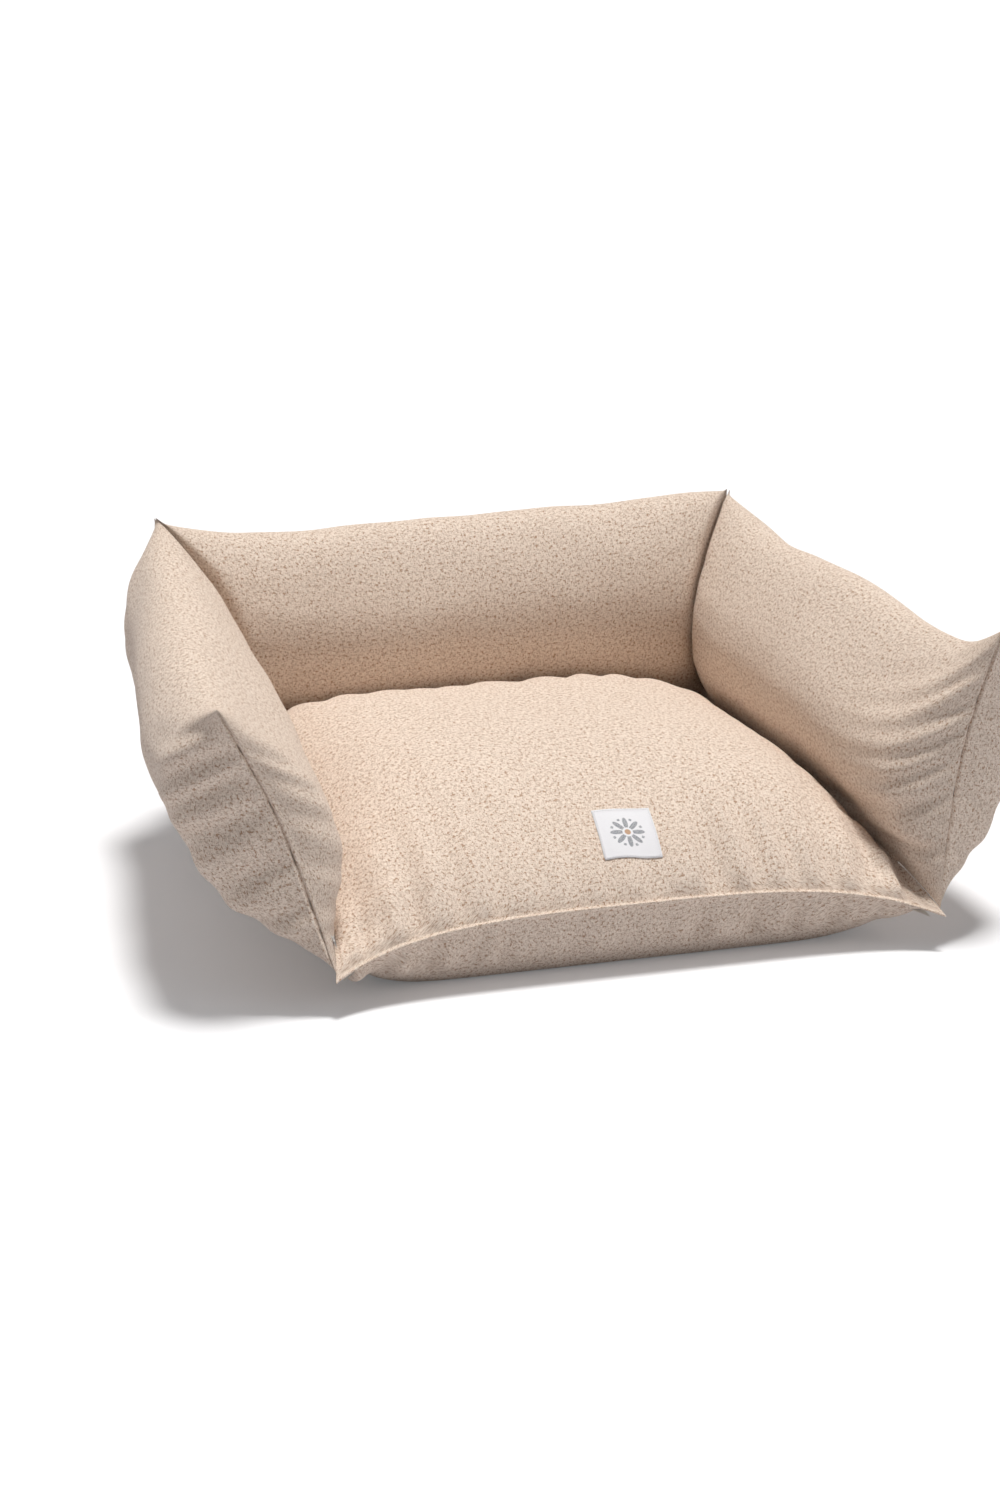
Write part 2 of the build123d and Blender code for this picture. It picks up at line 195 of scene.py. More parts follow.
@dataclass
class Socket:
    """A socket or a number in an expression. An operator adds the Math node that it stands for."""

    nodes: object
    value: object

    def math(self, operation, *others):
        values = [self.value] + [o.value if isinstance(o, Socket) else o for o in others]
        return self.nodes.add("ShaderNodeMath", {"operation": operation}, dict(enumerate(values)))

    def __add__(self, other):
        return self.math("ADD", other)

    __radd__ = __add__

    def __sub__(self, other):
        return self.math("SUBTRACT", other)

    def __rsub__(self, other):
        return Socket(self.nodes, other).math("SUBTRACT", self)

    def __mul__(self, other):
        return self.math("MULTIPLY", other)

    __rmul__ = __mul__

    def __truediv__(self, other):
        return self.math("DIVIDE", other)

    def __abs__(self):
        return self.math("ABSOLUTE")

    def output(self, name):
        """Another output of the same node."""
        return Socket(self.nodes, self.value.node.outputs[name])


# Numbers of a Mix node's sockets for colours
MIX_FACTOR, MIX_FIRST, MIX_SECOND, MIX_COLOUR = 0, 6, 7, 2


class Shading:
    """The node tree of a new material or world, and the shader that it starts with."""

    def __init__(self, name, owners="materials", shader="Principled BSDF", end="Material Output"):
        self.owner = getattr(bpy.data, owners).new(name)
        self.owner.use_nodes = True
        self.tree = self.owner.node_tree
        self.shader = self.tree.nodes[shader]
        self.end = self.tree.nodes[end]

    def add(self, kind, options=None, inputs=None, output=0):
        """A node with its settings and its sockets' values or links. Returns one output."""
        node = self.tree.nodes.new(kind)
        for name, value in (options or {}).items():
            setattr(node, name, value)
        for name, value in (inputs or {}).items():
            self.feed(node.inputs[name], value)
        return Socket(self, node.outputs[output])

    def feed(self, socket, value):
        value = value.value if isinstance(value, Socket) else value
        if isinstance(value, bpy.types.NodeSocket):
            self.tree.links.new(value, socket)
        elif socket.type == "RGBA":
            socket.default_value = (*value, 1)
        else:
            socket.default_value = value

    def finish(self, relief=None, depth=0.0, strength=1.0, **inputs):
        """Feeds the shader's sockets, and a bump where there is a relief. Returns the material or world."""
        if relief is not None:
            bump = {"Height": relief, "Distance": depth, "Strength": strength}
            inputs["Normal"] = self.add("ShaderNodeBump", inputs=bump)
        for name, value in inputs.items():
            self.feed(self.shader.inputs[name.replace("_", " ")], value)
        return self.owner

    def cover(self, share, other):
        """Mixes a share of another shader over this one."""
        inputs = {0: share, 1: self.shader.outputs[0], 2: other}
        self.feed(self.end.inputs[0], self.add("ShaderNodeMixShader", inputs=inputs))

    def threads(self):
        """Place on the cloth in metres: along the weft and along the warp."""
        place = self.add("ShaderNodeUVMap", {"uv_map": "thread"})
        weft = self.add("ShaderNodeSeparateXYZ", inputs={0: place})
        return weft, weft.output("Y")

    def own_place(self):
        """Place in the piece's own space in metres."""
        return self.add("ShaderNodeTexCoord", output="Object")

    def place(self, x, y, z=0):
        return self.add("ShaderNodeCombineXYZ", inputs={0: x, 1: y, 2: z})

    def noise(self, place, scale, detail=2.0, roughness=0.5):
        inputs = {"Vector": place, "Scale": scale, "Detail": detail, "Roughness": roughness}
        return self.add("ShaderNodeTexNoise", inputs=inputs)

    def yarn_cells(self, x, y, layer):
        """A random number for each unit square."""
        corner = self.place(x.math("FLOOR"), y.math("FLOOR"), layer)
        return self.add("ShaderNodeTexWhiteNoise", inputs={"Vector": corner})

    def mix(self, share, first, second):
        """A share of the second colour over the first."""
        inputs = {MIX_FACTOR: share, MIX_FIRST: first, MIX_SECOND: second}
        return self.add("ShaderNodeMix", {"data_type": "RGBA"}, inputs, MIX_COLOUR)

    def ramp(self, value, low, high):
        """0 below low, 1 above high."""
        inputs = {"Value": value, "From Min": low, "From Max": high}
        return self.add("ShaderNodeMapRange", {"interpolation_type": "SMOOTHSTEP"}, inputs)


def plain_weave(shading, weft, warp, pitch):
    """Height of a plain weave: yarns that pass over and under each other."""
    across = (weft * (math.pi / pitch)).math("SINE")
    along = (warp * (math.pi / pitch)).math("SINE")
    over = across * along * 0.5 + 0.5
    return over * abs(across) + (1 - over) * abs(along)


# In yarn pitches
FLECK_LENGTH, FLECK_WIDTH, SLUB_LENGTH = 3.2, 0.8, 1.7


def linen_material(finish):
    """Melange yarns: long flecks along both yarn directions over a soft mottle."""
    shading = Shading("linen_cloth")
    weft, warp = shading.threads()
    pitch = finish.yarn_pitch
    length, width, slub = pitch * FLECK_LENGTH, pitch * FLECK_WIDTH, pitch * SLUB_LENGTH
    long_flecks = shading.noise(shading.place(weft / length, warp / width), 1.0, 1.0)
    tall_flecks = shading.noise(shading.place(weft / width, warp / length, 7.0), 1.0, 1.0)
    fine = shading.noise(shading.place(weft, warp), 0.62 / pitch, 3.0, 0.85)
    specks = shading.noise(shading.place(weft, warp, 3.0), 0.36 / pitch, 2.0, 0.8)
    mottle = shading.noise(shading.place(weft, warp), 28.0, 3.0)
    height = plain_weave(shading, weft, warp, pitch)
    dark = shading.ramp(long_flecks * 0.5 + tall_flecks * 0.5, 0.50, 0.32)
    pale = shading.ramp(long_flecks * 0.4 + tall_flecks * 0.4 + fine * 0.2, 0.50, 0.66)
    loose = shading.yarn_cells(weft / slub, warp / pitch, 0.0)
    close = shading.yarn_cells(weft / pitch, warp / slub, 5.0)
    grain = shading.ramp(loose * 0.4 + close * 0.4 + fine * 0.2, 0.18, 0.70)
    brown = shading.ramp(specks, 0.47, 0.36)
    colour = shading.mix(dark * 0.80, finish.cloth, finish.dark_yarn)
    colour = shading.mix(pale * 0.8, colour, finish.pale_yarn)
    colour = shading.mix(brown * 0.90, colour, finish.brown_yarn)
    # Yarn grain and mottle are the cloth's own tone; the weave height term is painted shade in the hollows
    # between the yarns.
    grain_and_weave_shade = grain * 0.58 + height * 0.14 + mottle * 0.20 + 0.48
    colour = shading.mix(1.0 - grain_and_weave_shade, colour, finish.dark_yarn)
    relief = height * 0.6 + fine * 0.5 + long_flecks * 0.3
    return shading.finish(
        relief, 0.0005, 0.7, Base_Color=colour, Roughness=0.93,
        Sheen_Weight=0.12, Sheen_Roughness=0.6, Specular_IOR_Level=0.15,
    )


def filling_material(finish):
    """Plain cotton of the inner bags."""
    shading = Shading("inner_cotton")
    weft, warp = shading.threads()
    height = plain_weave(shading, weft, warp, 0.0006)
    fine = shading.noise(shading.place(weft, warp), 300.0)
    colour = shading.mix(fine * 0.2, finish.filling, finish.pale_yarn)
    return shading.finish(height, 0.0002, Base_Color=colour, Roughness=0.9, Specular_IOR_Level=0.2)


def label_material(finish):
    """A woven square with a star of grey darts round a tan centre, inside a plain border."""
    shading = Shading("woven_label")
    across, along = shading.threads()
    x = across - 0.5
    y = along - 0.5
    radius = (x * x + y * y).math("SQRT")
    angle = y.math("ARCTAN2", x)
    petal = abs((angle * 4).math("COSINE"))
    dart = shading.ramp(radius - 0.30 * petal, 0.012, -0.012) * shading.ramp(radius, 0.085, 0.10)
    short = abs((angle * 4).math("SINE"))
    seed = shading.ramp(abs(radius - 0.27), 0.028, 0.016) * shading.ramp(short, 0.90, 0.98)
    heart = shading.ramp(radius, 0.060, 0.048)
    yarn = shading.noise(shading.place(across * 14, along * 110), 1.0, 1.0)
    dapple = shading.ramp(shading.noise(shading.place(across, along), 60.0), 0.38, 0.6)
    rib = abs((along * (math.pi * 90)).math("SINE"))
    figure = (dart + seed).math("MINIMUM", 1.0) * (dapple * 0.45 + 0.5)
    # The grey yarn tone is the label's own, halved on the rib tops, so the grooves between the ribs hold
    # painted shade.
    colour = shading.mix(yarn * 0.35 * (1 - rib * 0.5), finish.label, (0.62, 0.60, 0.63))
    colour = shading.mix(figure, colour, finish.label_ink)
    colour = shading.mix(heart * 0.85, colour, finish.label_warm)
    relief = rib * 0.6 + yarn * 0.5 + figure * 0.4
    return shading.finish(relief, 0.00018, Base_Color=colour, Roughness=0.75, Specular_IOR_Level=0.3)


def thread_material(finish):
    """Twisted sewing thread."""
    shading = Shading("label_thread")
    fibre = shading.noise(shading.own_place(), 2500.0, 1.0)
    tone = shading.mix(fibre * 0.6, finish.label, (0.55, 0.54, 0.56))
    return shading.finish(fibre, 0.00015, Base_Color=tone, Roughness=0.7)


def tape_material(finish):
    """Herringbone zip tape."""
    shading = Shading("zip_tape")
    place = shading.own_place()
    inputs = {"Vector": place, "Scale": 480.0}
    waves = shading.add("ShaderNodeTexWave", {"bands_direction": "DIAGONAL"}, inputs)
    fibre = shading.noise(place, 1400.0, 1.0)
    tone = shading.mix(waves * 0.4 + fibre * 0.25, finish.cloth, finish.dark_yarn)
    return shading.finish(waves, 0.0002, Base_Color=tone, Roughness=0.8)


def coil_material(finish):
    """Nylon coil, a little glossy."""
    shading = Shading("zip_nylon")
    turns = shading.noise(shading.own_place(), 900.0, 1.0)
    tone = shading.mix(turns * 0.4, finish.cloth, finish.pale_yarn)
    return shading.finish(turns, 0.0001, Base_Color=tone, Roughness=0.38)


def metal_material(finish):
    """Cast nickel with a fine tumbled grain and small wear marks."""
    shading = Shading("zip_nickel")
    place = shading.own_place()
    grain = shading.noise(place, 1800.0, 2.0)
    wear = shading.ramp(shading.noise(place, 260.0, 3.0), 0.45, 0.7)
    tone = shading.mix(wear * 0.3, finish.metal, (0.80, 0.79, 0.76))
    rough = grain * 0.2 + wear * 0.1 + 0.24
    return shading.finish(grain, 0.00006, Base_Color=tone, Roughness=rough, Metallic=1.0)


def hook_material(finish):
    """Nylon hooks and loops: a dense bristle."""
    shading = Shading("hook_and_loop")
    inputs = {"Vector": shading.own_place(), "Scale": 1400.0}
    bristle = shading.add("ShaderNodeTexVoronoi", inputs=inputs)
    tone = shading.mix(bristle, finish.pale_yarn, finish.dark_yarn)
    return shading.finish(bristle, 0.0004, Base_Color=tone, Roughness=0.6)


materials = {}


def make_materials(finish):
    """The finishes of all the pieces, each under its slot or its own name."""
    materials.update(
        cloth=linen_material(finish),
        filling=filling_material(finish),
        label=label_material(finish),
        label_thread=thread_material(finish),
        zip_tape=tape_material(finish),
        zip_coil=coil_material(finish),
        zip_metal=metal_material(finish),
        hook_and_loop=hook_material(finish),
    )


# Curves and meshes

def smooth_table(table, x):
    """Values of a table of shares at x, on a smooth curve through its rows."""
    rows = np.array(table, float)
    places, values = rows[:, 0], rows[:, 1:]
    slopes = np.gradient(values, places, axis=0)
    k = np.clip(np.searchsorted(places, x) - 1, 0, len(places) - 2)
    width = (places[k + 1] - places[k])[:, None]
    t = (x - places[k])[:, None] / width
    start = (1 + 2 * t) * (1 - t) ** 2 * values[k] + t * (1 - t) ** 2 * width * slopes[k]
    return start + t * t * (3 - 2 * t) * values[k + 1] + t * t * (t - 1) * width * slopes[k + 1]


def smooth_step(x, low, high):
    t = np.clip((x - low) / (high - low), 0, 1)
    return t * t * (3 - 2 * t)


def running_sum(steps):
    """Sum of the steps up to each point, from 0."""
    return np.concatenate([[0], np.cumsum(steps)])


def cloth_noise(points, scale, seed):
    """Smooth noise from -1 to 1 at each point."""
    shift = Vector((seed * 17.3, seed * 5.1, seed * 11.7))
    values = [noise.noise(Vector(p) * scale + shift) for p in points.reshape(-1, 3)]
    return np.array(values).reshape(points.shape[:-1])


def dents(points, layers, seed):
    """Soft hollows over the filling, from layers of noise that have a scale and a depth."""
    return sum(cloth_noise(points, scale, seed + k) * depth for k, (scale, depth) in enumerate(layers))


def puckers(along, away, gathers, seed):
    """Gathers that run off a seam: waves along it that swell and die away from it."""
    pitch, reach, height = gathers
    shift = np.stack([along / (pitch * 2.2), away / (pitch * 8), np.full_like(along, seed)], -1)
    wander = cloth_noise(shift, 1.0, seed)
    size = 0.55 + 0.75 * cloth_noise(shift * np.array([0.55, 0.3, 1.0]), 1.0, seed + 9)
    wave = np.sin(2 * np.pi * along / pitch + 5.0 * wander)
    share = away / reach
    return wave * np.clip(size, 0, 1.2) * share * np.exp(1 - share) * height


def unit(ways):
    return ways / np.maximum(np.linalg.norm(ways, axis=-1, keepdims=True), 1e-9)


def grid_normals(points):
    """Unit normals of a grid of points."""
    return unit(np.cross(np.gradient(points, axis=0), np.gradient(points, axis=1)))


def cloth_lengths(points):
    """Places of a grid's points on the flat cloth: lengths along its rows and columns from its middle."""
    ways = []
    for axis in (0, 1):
        step = np.linalg.norm(np.diff(points, axis=axis), axis=-1)
        length = np.cumsum(np.insert(step, 0, 0, axis=axis), axis=axis)
        ways.append(length - np.take(length, [points.shape[axis] // 2], axis=axis))
    return np.stack(ways, -1)


def link(name, data):
    """A new object in the scene."""
    item = bpy.data.objects.new(name, data)
    bpy.context.scene.collection.objects.link(item)
    return item


def mesh_piece(name, points, quads, threads, slot, finish=None):
    """An object from points, quads and each point's place on the cloth. Its finish is its slot's."""
    mesh = bpy.data.meshes.new(name)
    mesh.from_pydata([tuple(p) for p in points], [], quads)
    corners = np.array(threads, np.float32)[np.array(quads)]
    mesh.uv_layers.new(name="thread").data.foreach_set("uv", corners.ravel())
    mesh.materials.append(materials[finish or slot])
    mesh.shade_smooth()
    piece = link(name, mesh)
    return piece


def grid_faces(rows, columns, first=0, flip=False):
    """Quads of a grid of points, whose first point has the given number."""
    corner = first + np.arange(rows - 1)[:, None] * columns + np.arange(columns - 1)
    quads = corner.reshape(-1, 1) + np.array([0, 1, columns + 1, columns])
    return (quads[:, ::-1] if flip else quads).tolist()


def weld(piece, distance=1e-5):
    """Joins points that lie together, and drops faces that have no area."""
    work = bmesh.new()
    work.from_mesh(piece.data)
    bmesh.ops.remove_doubles(work, verts=work.verts, dist=distance)
    bmesh.ops.dissolve_degenerate(work, edges=work.edges, dist=distance)
    bmesh.ops.recalc_face_normals(work, faces=work.faces)
    work.to_mesh(piece.data)
    work.free()
    piece.data.shade_smooth()


def grid_piece(name, points, threads, slot, finish=None, distance=1e-5):
    """A closed piece from one grid of points."""
    quads = grid_faces(*points.shape[:2])
    piece = mesh_piece(name, points.reshape(-1, 3), quads, threads.reshape(-1, 2), slot, finish)
    weld(piece, distance)
    return piece


def subdivide(piece):
    modifier = piece.modifiers.new("round", "SUBSURF")
    modifier.levels = modifier.render_levels = 1


# Bolsters

# Root of the height left to the top fold, then inner and outer bulge and end draw-in as shares
BOLSTER_SHARES = (
    (0.0, 0.0, 0.0, 0.0),
    (0.2, 0.38, 0.37, 0.18),
    (0.332, 0.62, 0.61, 0.45),
    (0.469, 0.84, 0.83, 0.75),
    (0.616, 1.0, 0.98, 0.98),
    (0.735, 0.97, 1.0, 1.0),
    (0.837, 0.74, 0.93, 0.85),
    (0.9, 0.45, 0.77, 0.62),
    (0.938, 0.27, 0.56, 0.42),
    (0.97, 0.14, 0.34, 0.20),
    (1.0, 0.0, 0.0, 0.0),
)
BOW_SHARE = 0.09

# How far the sag moves to one end, and the outer and inner faces' gathers
SIDE_SHAPES = {
    "left": {"gathers": (1.0, 0.35)},
    "right": {"skew": -0.3, "gathers": (0.5, 1.2)},
}

# Low and high ends of smooth steps, in shares of the height or run
NEAR_FOOT, NEAR_FOLD = (0.0, 0.22), (0.72, 1.0)
SAG_BAND, BELLY_BAND = (0.35, 1.0), (-0.2, 1.0)
BAG_FOOT, BAG_FOLD = (0.0, 0.3), (0.5, 1.0)
GROOVE_REACH = (0.006, 0.02)
LIP_PLACE = 3.2
FINE_STEPS = 400
SEAM_STEPS = (5.5, 4.2, 3.2, 2.2, 1.2, 0.5, 0.0)


@dataclass
class BolsterForm:
    """A standing pillow between a foot on the seat's seam and a fold between two tips."""

    foot: tuple
    tip: tuple
    outward: tuple
    sizes: BolsterSizes
    outer_bulge: tuple
    sag: float
    skew: float = 0.0
    front_end: int = 0
    gathers: tuple = (1, 1)

    def __post_init__(self):
        self.foot, self.tip = np.array(self.foot, float), np.array(self.tip, float)

    def profile(self, turns):
        """Height shares, sides, rows of shares and cloth places round a station, even on the cloth."""
        fine = np.linspace(0, 1, FINE_STEPS)
        shares = smooth_table(BOLSTER_SHARES, fine)
        bulge = (shares[:, 0] + shares[:, 1]) / 2 * (self.sizes.inner_bulge + sum(self.outer_bulge) / 2) / 2
        rise = (1 - fine**2) * (self.tip[0][2] + self.tip[1][2] - self.foot[0][2] * 2) / 2
        length = running_sum(np.hypot(np.diff(bulge), np.diff(rise)))
        even = np.linspace(0, length[-1], turns)
        q = np.interp(even, length, fine)
        pick = np.concatenate([np.arange(turns)[::-1], np.arange(1, turns)])
        side = np.concatenate([np.ones(turns), -np.ones(turns - 1)])
        side[turns - 1] = 0
        thread = np.concatenate([length[-1] - even[::-1], even[1:] + length[-1]])
        return (1 - q**2)[pick], side, smooth_table(BOLSTER_SHARES, q)[pick], thread

    def surface(self, stations, turns, inset=0.0):
        """Points of the closed loop of each station, with places on the cloth."""
        sizes = self.sizes
        height, side, table, thread = self.profile(turns)
        closing = self.closing_shares(stations)
        past = np.ones(len(closing))
        run_share = np.concatenate([-past, np.linspace(-1, 1, stations), past])
        depth_share = np.concatenate([closing[::-1], np.ones(stations), closing])
        near_tip = np.maximum(1 - smooth_step(height, *NEAR_FOOT), smooth_step(height, *NEAR_FOLD))
        at_front = (run_share * self.front_end > 0)[:, None]
        roundness = np.where(at_front, sizes.end_roundness, sizes.back_end_roundness)
        blunt = roundness + (sizes.tip_roundness - roundness) * near_tip
        at_end = depth_share[:, None] < 1
        depth_share = depth_share[:, None] + 0 * height
        reach_share = np.sqrt(1 - depth_share ** (2 / blunt))

        rise = self.tip - self.foot
        ends = [f + r * height[:, None] for f, r in zip(self.foot, rise)]
        chord = ends[1] - ends[0]
        size = np.linalg.norm(chord, axis=1)
        x_way = chord / size[:, None]
        y_way = unit(np.cross(np.cross(x_way, self.outward), x_way))
        centre = (ends[0] + ends[1]) / 2
        half = size / 2 - sizes.draw_in * table[:, 2] - inset
        shoulder = np.where(at_front, *sizes.shoulders)
        run = half - shoulder

        u = run_share[:, None]
        along = u * run + np.sign(u) * reach_share * shoulder * at_end
        start_bulge, end_bulge = self.outer_bulge
        outer = start_bulge + (end_bulge - start_bulge) * smooth_step(u, -1, 1)
        reach = np.where(side > 0, outer * table[:, 1], sizes.inner_bulge * table[:, 0])
        depth = depth_share * np.maximum(reach - inset, 0) * (1 - BOW_SHARE * u * u)
        if inset == 0:
            body = smooth_step(reach, *GROOVE_REACH) * at_end
            groove = sizes.seam_groove * np.exp(-((depth / sizes.seam_edge) ** 2))
            lip = sizes.seam_lip * np.exp(-((depth / sizes.seam_edge - LIP_PLACE) ** 2) / 2)
            along = along + np.sign(u) * (lip - groove) * body
        points = centre + x_way * along[..., None] + y_way * (depth * side)[..., None]
        whole = along / half
        sag = self.sag * smooth_step(height, *SAG_BAND) * (1 - np.abs(whole) ** 5)
        points[..., 2] -= sag * (1 - self.skew * whole)
        belly = smooth_step(u * self.front_end, *BELLY_BAND) if self.front_end else 0
        points[..., 2] -= sizes.belly_drop * belly * depth / outer
        points[..., 2] -= inset * (smooth_step(height, *BAG_FOLD) - 1 + smooth_step(height, *BAG_FOOT))
        self.away = half - np.abs(along) + np.abs(depth) * 0.6
        outer_gathers, inner_gathers = self.gathers
        self.gathered = np.where(side > 0, outer_gathers, inner_gathers)
        self.gathered = np.where(at_front, 1.0, sizes.back_gathers) * self.gathered
        self.seam_place = height * (self.tip[0][2] - self.foot[0][2]) + 0 * along
        self.height = height + 0 * along
        curve = running_sum(np.linalg.norm(np.diff(points, axis=0), axis=-1).max(axis=1))
        threads = np.stack([curve[:, None] + 0 * along, thread + 0 * along], -1)
        return points, threads

    def closing_shares(self, stations):
        """Depths left at the steps of a shoulder: even steps on the curve, closer at the seam."""
        sizes = self.sizes
        share = 1 - np.linspace(0, 1, FINE_STEPS) ** 3
        share[-1] = 0
        reach = np.sqrt(1 - share ** (2 / sizes.end_roundness)) * sizes.shoulders[0]
        length = running_sum(np.hypot(np.diff(share) * sizes.inner_bulge, np.diff(reach)))
        steps = max(7, stations // 4)
        even = np.interp(np.linspace(0, length[-1], steps)[1:-1], length, share)
        edge = np.array(SEAM_STEPS) * sizes.seam_edge / sizes.inner_bulge
        return np.concatenate([even[even > edge[0] * 1.3], edge])


def bolster_forms(seat, sizes):
    """The three pillows, and each one's corners and ways to them where back tips meet."""
    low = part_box("left_bolster_cover")[0].z
    x, y = seat.half_width - sizes.foot_overlap, seat.back
    front_foot = sizes.front_foot_inset - seat.tip_y
    back_foot = seat.tip_y - sizes.back_foot_inset
    front_tip = sizes.front_tip_inset - seat.tip_y
    over = sizes.tip_overlap
    forms, corners, back_tips = {}, {"back": []}, []
    for side, way, sag in (("left", -1, sizes.sags[0]), ("right", 1, sizes.sags[2])):
        heights, leans, bulges = (getattr(sizes, side + kind) for kind in ("_heights", "_leans", "_bulges"))
        corner = (way * (x + leans[1]), y + sizes.back_leans[way > 0])
        feet = ((way * x, front_foot, low), (way * x, back_foot, low))
        tips = (
            (way * (x + leans[0]), front_tip, heights[0]),
            (corner[0], corner[1] + over, heights[1]),
        )
        forms[side] = BolsterForm(
            feet[::-way], tips[::-way], (way, 0, 0), sizes, tuple(bulges)[::-way], sag,
            front_end=way, **SIDE_SHAPES[side],
        )
        corners[side] = [(corner, (-way, 1))]
        corners["back"].append((corner, (way, -1)))
        back_tips.append((corner[0] + way * over, corner[1], heights[1]))
    side_foot = seat.tip_x - sizes.back_foot_inset
    forms["back"] = BolsterForm(
        ((-side_foot, y, low), (side_foot, y, low)), back_tips, (0, 1, 0), sizes,
        (sizes.back_bulge, sizes.back_bulge), sizes.sags[1], skew=sizes.back_sag_skew,
    )
    return forms, corners


DOT_ROOM = 0.00155
BAG_INSET, BAG_TIP_INSET = 0.013, 0.004
COVER_GRID, BAG_GRID = (56, 46), (20, 20)

# Pitch, reach off the seam and height of gathers; scale and depth of dents
SMALL_GATHERS = (0.017, 0.013, 0.0022)
LARGE_GATHERS = (0.031, 0.034, 0.0056)
FOOT_GATHERS = (0.034, 0.020, 0.0012)
BOLSTER_DENTS = ((7.0, 0.0050), (17.0, 0.0022))


def press_flat(points, corners):
    """Presses the tips flat where two of them are fastened."""
    for corner, way in corners:
        facing = np.array([*way, 0.0]) / math.sqrt(2)
        over = (points - np.array([*corner, 0.0])) @ facing + DOT_ROOM
        points -= np.maximum(over, 0)[..., None] * facing
    return points


def wrinkle(form, points, seed):
    """Gathers off the end seams and the foot, and soft dents over the filling."""
    normals = grid_normals(points)
    outward = np.sum(normals * (points - points.mean(axis=(0, 1))), axis=-1).mean()
    if outward < 0:
        normals = -normals
    away, height = form.away, form.height
    body = smooth_step(height, 0.03, 0.16) * (1 - smooth_step(height, 0.90, 1.0))
    slant = form.seam_place + away * 0.25
    ends = puckers(slant, away, SMALL_GATHERS, seed) + puckers(slant, away, LARGE_GATHERS, seed + 3)
    hollows = dents(points, BOLSTER_DENTS, seed + 5) * smooth_step(away, 0.0, 0.08)
    foot = puckers(points[..., 0] + points[..., 1], height * 0.24, FOOT_GATHERS, seed + 7)
    shift = body * ends * form.gathered + hollows * smooth_step(height, 0.0, 0.2) + foot * (away > 0.02)
    return points + normals * shift[..., None]


def droop(points, seat):
    """Lowers the foot's front end to the seat's hanging corner tips."""
    share = np.clip(-points[..., 1] / seat.tip_y, 0, 1)
    low = 1 - smooth_step(points[..., 2], seat.seam_height, seat.seam_height + seat.droop_height)
    points[..., 2] -= low * share**5 * seat.tip_drop
    points[..., 0] += low * share**6 * np.sign(points[..., 0]) * (seat.tip_x - seat.half_width)
    return points


def make_bolster(side, form, corners, seat):
    """One pillow's cover and its filled inner bag."""
    body = f"{side}_bolster"
    points, threads = form.surface(*COVER_GRID)
    points = wrinkle(form, points, 1 + SIDES.index(side))
    points = droop(points, seat)
    points = lay_on_zip(press_flat(points, corners), body)
    cover = grid_piece(f"{side}_cover", points, threads, "cloth")
    cut_zip_opening(cover, body)
    subdivide(cover)
    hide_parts(f"{side}_bolster_cover")

    points, threads = form.surface(*BAG_GRID, inset=BAG_INSET)
    points = droop(points, seat)
    points = press_flat(points, [(np.array(c) - np.array(w) * BAG_TIP_INSET, w) for c, w in corners])
    points = lay_on_zip(points, body, BAG_UNDER_ZIP)
    bag = grid_piece(f"{side}_inner_bag", points, threads, "filling")
    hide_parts(f"{side}_bolster_insert")

    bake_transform(cover)
    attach(bag, body)


# Zips

ZIP_OPENING_WIDTH = 0.011
ZIP_OPENING_DEPTHS = (-0.0006, 0.03)
ZIP_RISE = 0.0027
BAG_UNDER_ZIP = -0.005
ARC_STEPS = 10

# Where the cloth leaves the zip's plane: past its ends, beside it and off it
END_FADE, SIDE_FADE, OFF_FADE = (0.006, 0.045), (0.014, 0.045), (0.03, 0.05)


def zip_axes(owner):
    """Centre of a zip's tape, its ways along, across and off the cloth, and its length."""
    low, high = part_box(f"{owner}_zip_tape")
    joints = {j["name"]: j for j in frame["joints"]}
    along = Vector(joints[f"{owner}_zip_slide"]["axis"]).normalized()
    swing = Vector(joints[f"{owner}_zip_pull_swing"]["axis"]).normalized()
    off = along.cross(swing).normalized()
    centre = (low + high) / 2
    if off.dot(Vector((centre.x, centre.y, 0))) < 0:
        off = -off
    shares = [abs(v) for v in along]
    length = max((high - low)[k] for k in range(3) if shares[k] == max(shares))
    return centre, along, off.cross(along), off, length


def lay_on_zip(points, owner, rise=ZIP_RISE):
    """Draws the cloth to a plane just over the zip's tape. A plane under the tape only pushes inward."""
    centre, along, across, off, length = zip_axes(owner)
    offset = points - np.array(centre)
    a, b, h = (offset @ np.array(way) for way in (along, across, off))
    near = 1 - smooth_step(np.abs(a) - length / 2, *END_FADE)
    near = near * (1 - smooth_step(np.abs(b), *SIDE_FADE)) * (1 - smooth_step(np.abs(h), *OFF_FADE))
    shift = np.minimum(rise - h, 0) if rise < 0 else rise - h
    return points + np.array(off) * (shift * near)[..., None]


